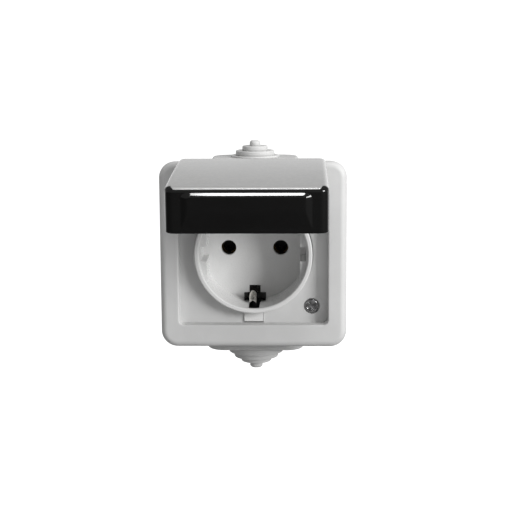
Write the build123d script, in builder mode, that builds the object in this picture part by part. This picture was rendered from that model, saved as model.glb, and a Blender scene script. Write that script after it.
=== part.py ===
from build123d import *
import os
from math import cos, radians, sin

# A surface-mounted earthed socket with a hinged lid, shown with the lid open.
# Sizes are millimetres. X runs to the right, Y into the wall and Z up.
# The origin is the centre of the face that meets the wall.
# A height is a distance from the wall towards the room.

os.makedirs("parts", exist_ok=True)

# Front cover
cover_width = 66.2
cover_tall = 66.6
cover_front = 42.0
cover_back = 31.0
cover_draft = 0.95
cover_corner = 6.0
cover_edge = 2.3
skirt_inner_width = 61.6
skirt_inner_tall = 61.0
skirt_inner_corner = 4.0
groove_height = 38.2

# Recess of the cover, in which the closed lid lies
recess_width = 52.8
recess_bottom = -25.0
recess_top = 22.9
recess_corner = 1.8
recess_depth = 4.7
recess_wall = 1.8
recess_edge = 0.5
recess_floor = cover_front - recess_depth
floor_back = recess_floor - recess_wall
recess_tall = recess_top - recess_bottom
recess_middle = (recess_top + recess_bottom) / 2

# Back box
box_width = 61.0
box_tall = 60.0
box_rim = 36.5
box_corner = 4.4
box_draft = 0.7
box_wall = 2.0
box_floor = 2.4
box_edge = 1.0

# Screw holes to the wall
wall_hole_radius = 2.2
wall_hole_x = 48.0
wall_hole_z = 19.0

# Screws of the cover
cover_screw_places = [(20.7, -19.0), (-20.7, 19.0)]
cover_screw_head = 2.3
cover_screw_seat = 2.85
cover_screw_shank = 1.45
cover_screw_hole = 1.9
cover_screw_length = 12.0
seat_depth = 1.5
post_radius = 3.4
cover_screw_head_thick = 1.7
cross_width = 0.8
cross_depth = 0.9
cross_span = 0.6
head_round_share = 0.25
cross_depth_share = 0.5

# Socket insert: the round well with its ring
ring_radius = 20.9
ring_front = 41.5
ring_edge = 0.35
well_radius = 19.3
well_floor_radius = 19.1
well_floor = 24.0
well_back = 21.8
flange_radius = 24.0
flange_thick = 2.2
hole_gap = 0.3
key_gap = 0.12
key_width = 6.7
key_front = 37.9
key_reach = 24.5
key_top_reach = 22.5
pin_hole_radius = 2.75
pin_spacing = 19.0
rib_chord = 16.6
rib_front = 39.2
rib_notch = 5.2
rib_notch_reach = 18.7
slot_width = 4.1
slot_start = 13.9
slot_front = 40.0
slot_reach = 20.15
slot_deep_front = 36.7
slot_deep_reach = 23.2
slot_deep_top_reach = 21.3
arm_width = 8.1
arm_start = 16.6
arm_front = 30.0

# Contact carrier
carrier_radius = 20.4
carrier_back = 3.4
carrier_front = 20.2
carrier_edge = 0.8
contact_bore = 3.4
contact_bore_floor = 4.6
carrier_screw_x = 16.5
carrier_screw_hole = 1.6
carrier_screw_shank = 1.4
carrier_screw_end = 1.3
carrier_screw_head = 2.5
carrier_screw_seat = 2.9
carrier_seat_depth = 2.6
carrier_boss_radius = 3.2

# Contacts and terminals
tube_radius = 3.0
tube_bore = 2.4
tube_back = 5.6
tube_front = 17.8
tube_slit = 1.2
tongue_back = 16.0
sheet_thick = 0.8
tongue_width = 4.2
tongue_reach = 16.2
clamp_width = 7.0
clamp_long = 6.4
clamp_back = 12.6
clamp_front = 19.4
clamp_wall = 1.2
clamp_roof = 1.5
clamp_x = 9.9
clamp_z = 12.4
pocket_gap = 0.35
wire_way = 5.0
wire_way_back = 13.2
terminal_shank = 1.5
terminal_head = 2.3
terminal_head_thick = 1.2
terminal_gap = 0.3

# Earth strip with its two clips
earth_width = 5.0
earth_reach = 18.2
clip_width = 2.6
clip_foot = 17.6
clip_bend = 24.6
clip_bulge = 15.0
clip_bulge_height = 28.4
clip_flare = 18.5
clip_flare_height = 32.6
channel_width = 5.8

# Cable entries: width, depth and reach of each raised pad, then the radii and reaches of its rings
entry_height = 15.0
bottom_pad = (35.6, 22.0, -38.3)
bottom_radii = (10.2, 8.25, 5.65, 2.35)
bottom_reaches = (-39.4, -41.7, -44.2, -47.0)
top_pad = (31.8, 19.8, 32.5)
top_radii = (8.95, 7.1, 4.7, 1.95)
top_reaches = (33.2, 34.9, 36.6, 38.5)
pad_corner = 6.5
pad_edge = 1.1
pad_wall = 2.2
gland_wall = 1.2
gland_flange = 1.5
gland_edge = 0.5

# Lid, drawn about its hinge and turned open by the rest angle
hinge_height = 44.6
hinge_z = 26.0
rest_angle = 85.3
lid_width = 51.0
lid_length = 50.0
lid_back = 2.95
lid_top = 8.2
lid_crown = 8.75
lid_end_top = 8.1
lid_rim = -6.2
lid_wall = 2.0
lid_roof = 6.3
lid_corner = 3.0
lid_back_corner = 2.6
lid_edge = 1.7
cheek_end = 3.7
knuckle_radius = 2.3
back_wall = 1.4
lug_middle = 14.0
lug_width = 6.0
lug_gap = 0.3
lug_root = 1.0
lug_slot_height = 2.9
pin_radius = 1.0
pin_running_radius = 1.06
pin_length = 50.2
pin_edge = 0.25

# Black end piece of the lid with its raised finger pad
grip_thick = 2.6
grip_top = 7.35
grip_plate_half = 23.4
grip_plate_corner = 2.0
grip_tongue_x = 39.5
grip_tongue_width = 5.5
grip_tongue_thick = 1.3
grip_tongue_long = 5.0
finger_half = 20.4
finger_low = -3.2
finger_high = 7.0
finger_rise = 1.5
finger_front_half = 15.6
finger_front_low = -1.2
finger_front_high = 5.5
finger_front_crown = 0.4
finger_round = 2.4
finger_front_x = finger_front_half - finger_round
finger_front_z = finger_front_high - finger_round

# Rubber seals
seal_ring_outer = 20.4
seal_ring_inner = 18.9
seal_rib_end = -1.4
seal_outer = 20.9
seal_inner = 18.4
seal_front = -2.7
seal_root = 0.6
gasket_width = 2.0


def level(height):
    """Gives the plane parallel to the wall at a height above it."""
    return Plane.XZ.offset(height)


def side_level(reach):
    """Gives the horizontal plane at a height in Z that faces away from the centre."""
    return Plane.XY.offset(reach) if reach > 0 else Plane.XY.offset(reach).rotated((180, 0, 0))


turn = radians(rest_angle)
hinge_point = (0, -hinge_height, hinge_z)
lid_out = (0, -cos(turn), sin(turn))
lid_up = (0, sin(turn), cos(turn))
lid_plane = Plane(origin=hinge_point, x_dir=(1, 0, 0), z_dir=lid_out)
lid_side = Plane(origin=hinge_point, x_dir=lid_up, z_dir=(1, 0, 0))
lid_end_origin = (0, -hinge_height - lid_length * sin(turn), hinge_z - lid_length * cos(turn))
lid_end = Plane(origin=lid_end_origin, x_dir=(1, 0, 0), z_dir=(0, -sin(turn), -cos(turn)))

# Back box, open to the front, with its two pads for the cable entries
with BuildPart() as back_box:
    with BuildSketch(level(0)):
        RectangleRounded(box_width - 2 * box_draft, box_tall - 2 * box_draft, box_corner - box_draft)
    with BuildSketch(level(box_rim)):
        RectangleRounded(box_width, box_tall, box_corner)
    loft()
    fillet(back_box.faces().sort_by(Axis.Y)[-1].edges(), box_edge)
    for pad_width, pad_depth, pad_reach in (bottom_pad, top_pad):
        with BuildSketch(side_level(pad_reach)):
            with Locations((0, -entry_height if pad_reach > 0 else entry_height)):
                RectangleRounded(pad_width, pad_depth, pad_corner)
        extrude(amount=-(abs(pad_reach) - box_tall / 2 + box_wall))
        outer_face = back_box.faces().sort_by(Axis.Z)[-1 if pad_reach > 0 else 0]
        fillet(outer_face.edges(), pad_edge)
    with BuildSketch(level(box_floor)):
        RectangleRounded(
            box_width - 2 * (box_draft + box_wall),
            box_tall - 2 * (box_draft + box_wall),
            box_corner - box_wall,
        )
    with BuildSketch(level(box_rim)):
        RectangleRounded(box_width - 2 * box_wall, box_tall - 2 * box_wall, box_corner - box_wall)
    loft(mode=Mode.SUBTRACT)
    for (pad_width, pad_depth, pad_reach), radii in ((bottom_pad, bottom_radii), (top_pad, top_radii)):
        with BuildSketch(side_level(pad_reach)):
            with Locations((0, -entry_height if pad_reach > 0 else entry_height)):
                Circle(radii[1])
        extrude(amount=-(abs(pad_reach) - box_tall / 2 + 2 * box_wall), mode=Mode.SUBTRACT)
        with BuildSketch(side_level(pad_reach).offset(-pad_wall)):
            with Locations((0, -entry_height if pad_reach > 0 else entry_height)):
                RectangleRounded(pad_width - 2 * pad_wall, pad_depth - pad_wall, pad_corner)
        extrude(amount=-(abs(pad_reach) - pad_wall - box_tall / 2 + 2 * box_wall), mode=Mode.SUBTRACT)
    with BuildSketch(level(floor_back - lug_gap)):
        with Locations(*cover_screw_places):
            Circle(post_radius)
    extrude(amount=-(floor_back - lug_gap - box_floor))
    with BuildSketch(level(box_floor)):
        with GridLocations(2 * carrier_screw_x, 0, 2, 1):
            Circle(carrier_boss_radius)
    extrude(amount=carrier_back - box_floor)
    with BuildSketch(level(carrier_back)):
        with GridLocations(2 * carrier_screw_x, 0, 2, 1):
            Circle(carrier_screw_shank)
    extrude(amount=carrier_screw_end - carrier_back, mode=Mode.SUBTRACT)
    with BuildSketch(level(floor_back)):
        with Locations(*cover_screw_places):
            Circle(cover_screw_shank)
    extrude(amount=-cover_screw_length, mode=Mode.SUBTRACT)
    with BuildSketch(level(0)):
        with GridLocations(wall_hole_x, wall_hole_z, 2, 2):
            Circle(wall_hole_radius)
    extrude(amount=box_floor, mode=Mode.SUBTRACT)
back_box.part.label = "back_box"
export_step(back_box.part, "parts/back_box.step")

# Front cover with its recess, the round hole for the insert and the hinge lugs
with BuildPart() as front_cover:
    with BuildSketch(level(cover_back)):
        RectangleRounded(
            cover_width - 2 * cover_draft,
            cover_tall - 2 * cover_draft,
            cover_corner - cover_draft,
        )
    with BuildSketch(level(cover_front)):
        RectangleRounded(cover_width, cover_tall, cover_corner)
    loft()
    fillet(front_cover.faces().sort_by(Axis.Y)[0].edges(), cover_edge)
    with BuildSketch(level(cover_front)):
        with Locations((0, recess_middle)):
            RectangleRounded(recess_width, recess_tall, recess_corner)
    extrude(amount=-recess_depth, mode=Mode.SUBTRACT)
    fillet(front_cover.faces().sort_by(Axis.Y)[0].inner_wires()[0].edges(), recess_edge)
    with BuildSketch(level(cover_back)):
        RectangleRounded(skirt_inner_width, skirt_inner_tall, skirt_inner_corner)
    extrude(amount=floor_back - cover_back, mode=Mode.SUBTRACT)
    with BuildSketch(level(floor_back)):
        RectangleRounded(skirt_inner_width, skirt_inner_tall, skirt_inner_corner)
        with Locations((0, recess_middle)):
            RectangleRounded(
                recess_width + 2 * recess_wall,
                recess_tall + 2 * recess_wall,
                recess_corner + recess_wall,
                mode=Mode.SUBTRACT,
            )
    extrude(amount=groove_height - floor_back, mode=Mode.SUBTRACT)
    with BuildSketch(level(floor_back)):
        Circle(ring_radius + hole_gap)
        with Locations((0, recess_middle)):
            Rectangle(key_width + 2 * key_gap, recess_tall)
    extrude(amount=recess_wall, mode=Mode.SUBTRACT)
    with BuildSketch(level(floor_back)):
        with Locations(*cover_screw_places):
            Circle(cover_screw_hole)
    extrude(amount=recess_wall, mode=Mode.SUBTRACT)
    with BuildSketch(level(recess_floor - seat_depth)):
        with Locations(*cover_screw_places):
            Circle(cover_screw_seat)
    extrude(amount=seat_depth, mode=Mode.SUBTRACT)
    for side in (-1, 1):
        with BuildSketch(Plane.YZ.offset(side * lug_middle)):
            with Locations((-hinge_height, hinge_z)):
                Circle(knuckle_radius)
            with Locations((-(hinge_height + cover_front - lug_root) / 2, hinge_z)):
                Rectangle(hinge_height - cover_front + lug_root, 2 * knuckle_radius)
        extrude(amount=lug_width / 2, both=True)
    with BuildSketch(Plane.YZ):
        with Locations((-hinge_height, hinge_z)):
            Circle(pin_radius)
    extrude(amount=lid_width, both=True, mode=Mode.SUBTRACT)
front_cover.part.label = "front_cover"
export_step(front_cover.part, "parts/front_cover.step")

# Gasket between the rim of the box and the cover
with BuildPart() as cover_gasket:
    with BuildSketch(level(box_rim)):
        RectangleRounded(box_width, box_tall, box_corner)
        RectangleRounded(
            box_width - 2 * gasket_width,
            box_tall - 2 * gasket_width,
            box_corner - gasket_width,
            mode=Mode.SUBTRACT,
        )
    extrude(amount=groove_height - box_rim)
cover_gasket.part.label = "cover_gasket"
export_step(cover_gasket.part, "parts/cover_gasket.step")


def stepped_gland(name, reaches, radii, pad_reach):
    """Makes one rubber cable entry, a stack of hollow rings that ends in a closed tip."""
    out = 1 if pad_reach > 0 else -1
    axis_plane = Plane(origin=(0, -entry_height, 0), x_dir=(1, 0, 0), z_dir=(0, -1, 0))
    inner = pad_reach - out * pad_wall
    flange_end = inner - out * gland_flange
    outline = [(radii[1] - gland_wall, flange_end), (radii[0] - gland_edge, flange_end)]
    outline += [(radii[0] - gland_edge, inner), (radii[1], inner)]
    outline += [(radii[1], pad_reach), (radii[0], pad_reach)]
    for ring, reach in enumerate(reaches):
        outline.append((radii[ring], reach - out * gland_edge))
        outline.append((radii[ring] - gland_edge, reach))
        if ring + 1 < len(radii):
            outline.append((radii[ring + 1], reach))
    outline.append((0, reaches[-1]))
    outline.append((0, reaches[-1] - out * gland_wall))
    for ring in range(len(radii) - 1, 0, -1):
        bore = max(radii[ring] - gland_wall, gland_wall / 2)
        outline.append((bore, reaches[ring] - out * gland_wall))
        outline.append((bore, reaches[ring - 1] - out * gland_wall))
    with BuildPart() as gland:
        with BuildSketch(axis_plane):
            with BuildLine():
                Polyline(*outline, close=True)
            make_face()
        revolve(axis=Axis((0, -entry_height, 0), (0, 0, 1)))
    gland.part.label = name
    export_step(gland.part, "parts/" + name + ".step")


stepped_gland("bottom_gland", bottom_reaches, bottom_radii, bottom_pad[2])
stepped_gland("top_gland", top_reaches, top_radii, top_pad[2])


# Socket insert: the well with its guide ribs, pin holes, earth slots and keys
with BuildPart() as socket_insert:
    with BuildSketch(Plane.XY):
        with BuildLine():
            Polyline(
                (0, -well_back),
                (ring_radius, -well_back),
                (ring_radius, -(floor_back - flange_thick)),
                (flange_radius, -(floor_back - flange_thick)),
                (flange_radius, -floor_back),
                (ring_radius, -floor_back),
                (ring_radius, -(ring_front - ring_edge)),
                (ring_radius - ring_edge, -ring_front),
                (well_radius + ring_edge, -ring_front),
                (well_radius, -(ring_front - ring_edge)),
                (well_floor_radius, -well_floor),
                (0, -well_floor),
                close=True,
            )
        make_face()
    revolve(axis=Axis.Y)
    with BuildSketch(level(well_floor)):
        Circle((ring_radius + well_floor_radius) / 2)
        Rectangle(2 * rib_chord, 2 * ring_radius, mode=Mode.SUBTRACT)
        Rectangle(2 * rib_notch_reach, rib_notch, mode=Mode.SUBTRACT)
    extrude(amount=rib_front - well_floor)
    with BuildSketch(level(floor_back - flange_thick)):
        with Locations((0, (key_top_reach - key_reach) / 2)):
            Rectangle(key_width, key_top_reach + key_reach)
        Circle(ring_radius - ring_edge, mode=Mode.SUBTRACT)
    extrude(amount=key_front - floor_back + flange_thick)
    with BuildSketch(level(well_back)):
        with GridLocations(pin_spacing, 0, 2, 1):
            Circle(pin_hole_radius)
    extrude(amount=well_floor - well_back, mode=Mode.SUBTRACT)
    with BuildSketch(level(well_back)):
        with GridLocations(0, slot_start + slot_reach, 1, 2):
            Rectangle(slot_width, slot_reach - slot_start)
    extrude(amount=slot_front - well_back, mode=Mode.SUBTRACT)
    with BuildSketch(level(well_back)):
        with GridLocations(0, arm_start + slot_reach, 1, 2):
            Rectangle(arm_width, slot_reach - arm_start)
    extrude(amount=arm_front - well_back, mode=Mode.SUBTRACT)
    with BuildSketch(level(well_back)):
        with Locations((0, (slot_deep_top_reach - slot_deep_reach) / 2)):
            Rectangle(slot_width, slot_deep_top_reach + slot_deep_reach)
        Rectangle(slot_width, 2 * slot_start, mode=Mode.SUBTRACT)
    extrude(amount=slot_deep_front - well_back, mode=Mode.SUBTRACT)
socket_insert.part.label = "socket_insert"
export_step(socket_insert.part, "parts/socket_insert.step")

# Contact carrier, with bores for the contacts and pockets for the terminals
clamp_places = [(-clamp_x, clamp_z), (clamp_x, clamp_z), (clamp_x, -clamp_z)]
with BuildPart() as contact_carrier:
    with BuildSketch(level(carrier_back)):
        Circle(carrier_radius)
    extrude(amount=carrier_front - carrier_back)
    chamfer(contact_carrier.edges().filter_by(GeomType.CIRCLE), carrier_edge)
    with BuildSketch(level(contact_bore_floor)):
        with GridLocations(pin_spacing, 0, 2, 1):
            Circle(contact_bore)
    extrude(amount=carrier_front - contact_bore_floor, mode=Mode.SUBTRACT)
    with BuildSketch(level(clamp_back - pocket_gap)):
        with Locations(*clamp_places):
            Rectangle(clamp_width + 2 * pocket_gap, clamp_width + 2 * pocket_gap)
    extrude(amount=carrier_front - clamp_back + pocket_gap, mode=Mode.SUBTRACT)
    with BuildSketch(level(tongue_back - pocket_gap)):
        for side in (-1, 1):
            with Locations((side * clamp_x, clamp_z / 2)):
                Rectangle(wire_way, clamp_z)
        with Locations((clamp_x / 2, -clamp_z)):
            Rectangle(clamp_x, wire_way)
        Rectangle(channel_width, 2 * carrier_radius)
    extrude(amount=carrier_front - tongue_back + pocket_gap, mode=Mode.SUBTRACT)
    with BuildSketch(level(wire_way_back)):
        for side in (-1, 1):
            with Locations((side * clamp_x, (clamp_z + carrier_radius) / 2)):
                Rectangle(wire_way, carrier_radius - clamp_z)
        with Locations(((clamp_x + carrier_radius) / 2, -clamp_z)):
            Rectangle(carrier_radius - clamp_x, wire_way)
    extrude(amount=carrier_front - wire_way_back, mode=Mode.SUBTRACT)
    with BuildSketch(level(carrier_back)):
        with GridLocations(2 * carrier_screw_x, 0, 2, 1):
            Circle(carrier_screw_hole)
    extrude(amount=carrier_front - carrier_back, mode=Mode.SUBTRACT)
    with BuildSketch(level(carrier_front - carrier_seat_depth)):
        with GridLocations(2 * carrier_screw_x, 0, 2, 1):
            Circle(carrier_screw_seat)
    extrude(amount=carrier_seat_depth, mode=Mode.SUBTRACT)
contact_carrier.part.label = "contact_carrier"
export_step(contact_carrier.part, "parts/contact_carrier.step")

# Pin contacts: split brass tubes with a tongue that runs into the terminal
for name, side in (("line_contact", -1), ("neutral_contact", 1)):
    with BuildPart() as contact:
        with BuildSketch(level(tube_back)):
            with Locations((side * pin_spacing / 2, 0)):
                Circle(tube_radius)
                Circle(tube_bore, mode=Mode.SUBTRACT)
            with Locations((side * pin_spacing / 2, -tube_radius)):
                Rectangle(tube_slit, 2 * tube_radius, mode=Mode.SUBTRACT)
        extrude(amount=tube_front - tube_back)
        with BuildSketch(level(tongue_back)):
            with Locations((side * clamp_x, (tongue_reach + tube_bore) / 2)):
                Rectangle(tongue_width, tongue_reach - tube_bore)
            with Locations((side * pin_spacing / 2, 0)):
                Circle(tube_bore, mode=Mode.SUBTRACT)
        extrude(amount=sheet_thick)
    contact.part.label = name
    export_step(contact.part, "parts/" + name + ".step")

# Earth strip: a flat bar with a side tongue and one sprung clip at each end
with BuildPart() as earth_strip:
    with BuildSketch(level(tongue_back)):
        Rectangle(earth_width, 2 * earth_reach)
        with Locations((tongue_reach / 2, -clamp_z)):
            Rectangle(tongue_reach, tongue_width)
    extrude(amount=sheet_thick)
    for side in (-1, 1):
        with BuildSketch(Plane.YZ):
            with BuildLine():
                Line((-tongue_back, side * clip_foot), (-clip_bend, side * clip_foot))
                Spline(
                    (-clip_bend, side * clip_foot),
                    (-clip_bulge_height, side * clip_bulge),
                    (-clip_flare_height, side * clip_flare),
                    tangents=[(-1, 0), (-1, side)],
                )
            trace(line_width=sheet_thick)
        extrude(amount=clip_width / 2, both=True)
earth_strip.part.label = "earth_strip"
export_step(earth_strip.part, "parts/earth_strip.step")

# Terminal clamps: brass frames open along the way of the wire
for name, place, along_x in (
    ("line_clamp", clamp_places[0], False),
    ("neutral_clamp", clamp_places[1], False),
    ("earth_clamp", clamp_places[2], True),
):
    clamp_size = (clamp_long, clamp_width) if along_x else (clamp_width, clamp_long)
    inside = clamp_width - 2 * clamp_wall
    window = (clamp_long, inside) if along_x else (inside, clamp_long)
    with BuildPart() as clamp:
        with BuildSketch(level(clamp_back)):
            with Locations(place):
                Rectangle(*clamp_size)
        extrude(amount=clamp_front - clamp_back)
        with BuildSketch(level(clamp_back + clamp_wall)):
            with Locations(place):
                Rectangle(*window)
        extrude(amount=clamp_front - clamp_roof - clamp_back - clamp_wall, mode=Mode.SUBTRACT)
        with BuildSketch(level(clamp_front)):
            with Locations(place):
                Circle(terminal_shank)
        extrude(amount=-clamp_roof, mode=Mode.SUBTRACT)
    clamp.part.label = name
    export_step(clamp.part, "parts/" + name + ".step")


def cross_screws(name, places, seat, shank_end, head_radius, head_thick, shank_radius):
    """Makes a set of like cross-head screws whose heads stand on a seat height."""
    with BuildPart() as screws:
        with BuildSketch(level(seat)):
            with Locations(*places):
                Circle(head_radius)
        extrude(amount=head_thick)
        fillet(screws.faces().sort_by(Axis.Y)[0 : len(places)].edges(), head_round_share * head_thick)
        with BuildSketch(level(seat)):
            with Locations(*places):
                Circle(shank_radius)
        extrude(amount=-(seat - shank_end))
        with BuildSketch(level(seat + head_thick)):
            with Locations(*places):
                Rectangle(2 * cross_span * head_radius, cross_width)
                Rectangle(cross_width, 2 * cross_span * head_radius)
        extrude(amount=-min(cross_depth, cross_depth_share * head_thick), mode=Mode.SUBTRACT)
    screws.part.label = name
    export_step(screws.part, "parts/" + name + ".step")


cross_screws(
    "cover_screws",
    cover_screw_places,
    recess_floor - seat_depth,
    floor_back - cover_screw_length + cover_screw_shank,
    cover_screw_head,
    cover_screw_head_thick,
    cover_screw_shank,
)
cross_screws(
    "carrier_screws",
    [(-carrier_screw_x, 0), (carrier_screw_x, 0)],
    carrier_front - carrier_seat_depth,
    carrier_screw_end,
    carrier_screw_head,
    carrier_seat_depth - terminal_gap,
    carrier_screw_shank,
)
cross_screws(
    "terminal_screws",
    clamp_places,
    clamp_front + terminal_gap,
    tongue_back + sheet_thick,
    terminal_head,
    terminal_head_thick,
    terminal_shank,
)


def lid_block():
    """Gives the lid's outer form as one solid, from its side profile."""
    with BuildPart() as block:
        with BuildSketch(lid_side):
            with BuildLine():
                Line((-lid_length, lid_rim), (-lid_length, lid_end_top))
                ThreePointArc((-lid_length, lid_end_top), (-lid_length / 2, lid_crown), (lid_back, lid_top))
                Polyline(
                    (lid_back, lid_top),
                    (lid_back, lid_roof),
                    (knuckle_radius, lid_roof),
                    (knuckle_radius, 0),
                )
                CenterArc((0, 0), knuckle_radius, -90, 90)
                Polyline(
                    (0, -knuckle_radius),
                    (-cheek_end, -knuckle_radius),
                    (-cheek_end, lid_rim),
                    (-lid_length, lid_rim),
                )
            make_face()
        extrude(amount=lid_width / 2, both=True)
        uprights = block.edges().filter_by(Axis(hinge_point, lid_out)).sort_by(Axis(hinge_point, lid_up))
        fillet(uprights[:2], lid_corner)
        uprights = block.edges().filter_by(Axis(hinge_point, lid_out)).sort_by(Axis(hinge_point, lid_up))
        fillet(uprights[-2:], lid_back_corner)
        fillet(block.faces().sort_by(Axis(hinge_point, lid_out))[-1].edges(), lid_edge)
    return block.part


# Lid shell: roof, cheeks, back wall, hinge knuckles and the round rib that carries the seal
back_inside = knuckle_radius - back_wall
knuckle_spans = [
    (-lid_width / 2 + lid_wall, -lug_middle - lug_width / 2 - lug_gap),
    (-lug_middle + lug_width / 2 + lug_gap, lug_middle - lug_width / 2 - lug_gap),
    (lug_middle + lug_width / 2 + lug_gap, lid_width / 2 - lid_wall),
]
with BuildPart() as lid_shell:
    add(lid_block())
    with BuildSketch(lid_plane.offset(lid_rim)):
        with Locations((0, (back_inside - lid_length) / 2)):
            Rectangle(lid_width - 2 * lid_wall, lid_length + back_inside)
    extrude(amount=lid_roof - lid_rim, mode=Mode.SUBTRACT)
    with BuildSketch(lid_plane.offset(lid_rim)):
        with Locations((0, grip_thick / 2 - lid_length)):
            Rectangle(lid_width, grip_thick)
    extrude(amount=grip_top - lid_rim, mode=Mode.SUBTRACT)
    with BuildSketch(lid_plane.offset(grip_top)):
        with Locations((0, grip_thick / 2 - lid_length)):
            Rectangle(lid_width, grip_thick)
        with Locations((0, grip_thick - lid_length)):
            RectangleRounded(2 * grip_plate_half, 2 * grip_thick, grip_plate_corner, mode=Mode.SUBTRACT)
    extrude(amount=lid_crown - grip_top, mode=Mode.SUBTRACT)
    with BuildSketch(lid_plane.offset(seal_rib_end)):
        with Locations((0, -hinge_z)):
            Circle(seal_ring_outer)
            Circle(seal_ring_inner, mode=Mode.SUBTRACT)
    extrude(amount=lid_roof - seal_rib_end)
    for first, last in knuckle_spans:
        with BuildSketch(lid_side.offset(first)):
            Circle(knuckle_radius)
        extrude(amount=last - first)
    for side in (-1, 1):
        with BuildSketch(lid_side.offset(side * lug_middle - lug_width / 2 - lug_gap)):
            with Locations((knuckle_radius, 0)):
                Rectangle(2 * knuckle_radius, 2 * lug_slot_height)
        extrude(amount=lug_width + 2 * lug_gap, mode=Mode.SUBTRACT)
    with BuildSketch(lid_side):
        Circle(pin_running_radius)
    extrude(amount=lid_width, both=True, mode=Mode.SUBTRACT)
lid_shell.part.label = "lid_shell"
export_step(lid_shell.part, "parts/lid_shell.step")

# Black end piece, with a raised finger pad whose sides slope into its face
with BuildPart() as lid_grip:
    add(lid_block())
    with BuildSketch(lid_plane.offset(lid_rim)):
        with Locations((0, grip_thick / 2 - lid_length)):
            Rectangle(lid_width, grip_thick)
    extrude(amount=lid_crown - lid_rim, mode=Mode.INTERSECT)
    with BuildSketch(lid_plane.offset(grip_top)):
        with Locations((0, grip_thick - lid_length)):
            RectangleRounded(2 * grip_plate_half, 2 * grip_thick, grip_plate_corner)
    extrude(amount=lid_crown - grip_top, mode=Mode.SUBTRACT)
    with BuildSketch(lid_plane.offset(lid_roof - grip_tongue_thick)):
        with Locations((0, grip_thick + grip_tongue_long / 2 - lid_length)):
            with GridLocations(grip_tongue_x, 0, 2, 1):
                Rectangle(grip_tongue_width, grip_tongue_long)
    extrude(amount=grip_tongue_thick)
    with BuildSketch(lid_end):
        with BuildLine():
            Polyline(
                (-finger_half, finger_high - finger_round),
                (-finger_half, finger_low),
                (finger_half, finger_low),
                (finger_half, finger_high - finger_round),
            )
            CenterArc((finger_half - finger_round, finger_high - finger_round), finger_round, 0, 90)
            Line((finger_half - finger_round, finger_high), (finger_round - finger_half, finger_high))
            CenterArc((finger_round - finger_half, finger_high - finger_round), finger_round, 90, 90)
        make_face()
    with BuildSketch(lid_end.offset(finger_rise)):
        with BuildLine():
            Polyline(
                (-finger_front_half, finger_front_z),
                (-finger_front_half, finger_front_low),
                (finger_front_half, finger_front_low),
                (finger_front_half, finger_front_z),
            )
            CenterArc((finger_front_x, finger_front_z), finger_round, 0, 90)
            ThreePointArc(
                (finger_front_x, finger_front_high),
                (0, finger_front_high + finger_front_crown),
                (-finger_front_x, finger_front_high),
            )
            CenterArc((-finger_front_x, finger_front_z), finger_round, 90, 90)
        make_face()
    loft(ruled=True)
lid_grip.part.label = "lid_grip"
export_step(lid_grip.part, "parts/lid_grip.step")

# Rubber ring on the rib inside the lid
with BuildPart() as lid_seal:
    with BuildSketch(lid_plane.offset(seal_front)):
        with Locations((0, -hinge_z)):
            Circle(seal_outer)
            Circle(seal_inner, mode=Mode.SUBTRACT)
    extrude(amount=seal_root - seal_front)
    with BuildSketch(lid_plane.offset(seal_rib_end)):
        with Locations((0, -hinge_z)):
            Circle(seal_ring_outer)
            Circle(seal_ring_inner, mode=Mode.SUBTRACT)
    extrude(amount=seal_root - seal_rib_end, mode=Mode.SUBTRACT)
lid_seal.part.label = "lid_seal"
export_step(lid_seal.part, "parts/lid_seal.step")

# Hinge pin, held in the lugs of the cover
with BuildPart() as hinge_pin:
    with BuildSketch(Plane.YZ.offset(-pin_length / 2)):
        with Locations((-hinge_height, hinge_z)):
            Circle(pin_radius)
    extrude(amount=pin_length)
    chamfer(hinge_pin.edges().filter_by(GeomType.CIRCLE), pin_edge)
hinge_pin.part.label = "hinge_pin"
export_step(hinge_pin.part, "parts/hinge_pin.step")
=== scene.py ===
"""Dresses the packed earthed socket: finishes, finer rubber and metal pieces, floor, lights and camera."""

import logging
import math
from dataclasses import dataclass
from enum import Enum

import bmesh
import bpy
import numpy as np
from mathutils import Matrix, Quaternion, Vector


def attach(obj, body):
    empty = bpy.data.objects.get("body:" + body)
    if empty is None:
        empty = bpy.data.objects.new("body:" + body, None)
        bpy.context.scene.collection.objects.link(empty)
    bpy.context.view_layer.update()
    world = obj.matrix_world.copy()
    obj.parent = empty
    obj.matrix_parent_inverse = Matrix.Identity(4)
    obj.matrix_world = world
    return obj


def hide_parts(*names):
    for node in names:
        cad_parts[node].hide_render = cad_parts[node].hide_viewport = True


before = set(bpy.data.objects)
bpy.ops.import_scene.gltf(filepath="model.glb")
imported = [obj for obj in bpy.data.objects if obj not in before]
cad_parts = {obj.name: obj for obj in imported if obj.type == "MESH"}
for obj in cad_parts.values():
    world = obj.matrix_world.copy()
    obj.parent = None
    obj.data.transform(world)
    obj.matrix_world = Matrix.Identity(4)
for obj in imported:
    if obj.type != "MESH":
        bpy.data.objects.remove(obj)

LOG = logging.getLogger("earthed_socket")
MM = 0.001
SHARP_ANGLE = math.radians(32.0)
WELD = 1e-7
CORNER_SHARE = 0.45
SOFT_RING_STEPS = 48
Array = np.ndarray
Shape = tuple[Array, Array]
Colour = tuple[float, float, float]
Point = tuple[float, float, float]
Object = bpy.types.Object
Material = bpy.types.Material
Node = bpy.types.Node
Socket = bpy.types.NodeSocket
Tree = bpy.types.NodeTree
Values = dict[object, object]


class Body(Enum):
    """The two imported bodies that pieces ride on."""

    HOUSING = "housing"
    LID = "lid"


# ---- shapes worked out as arrays


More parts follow.
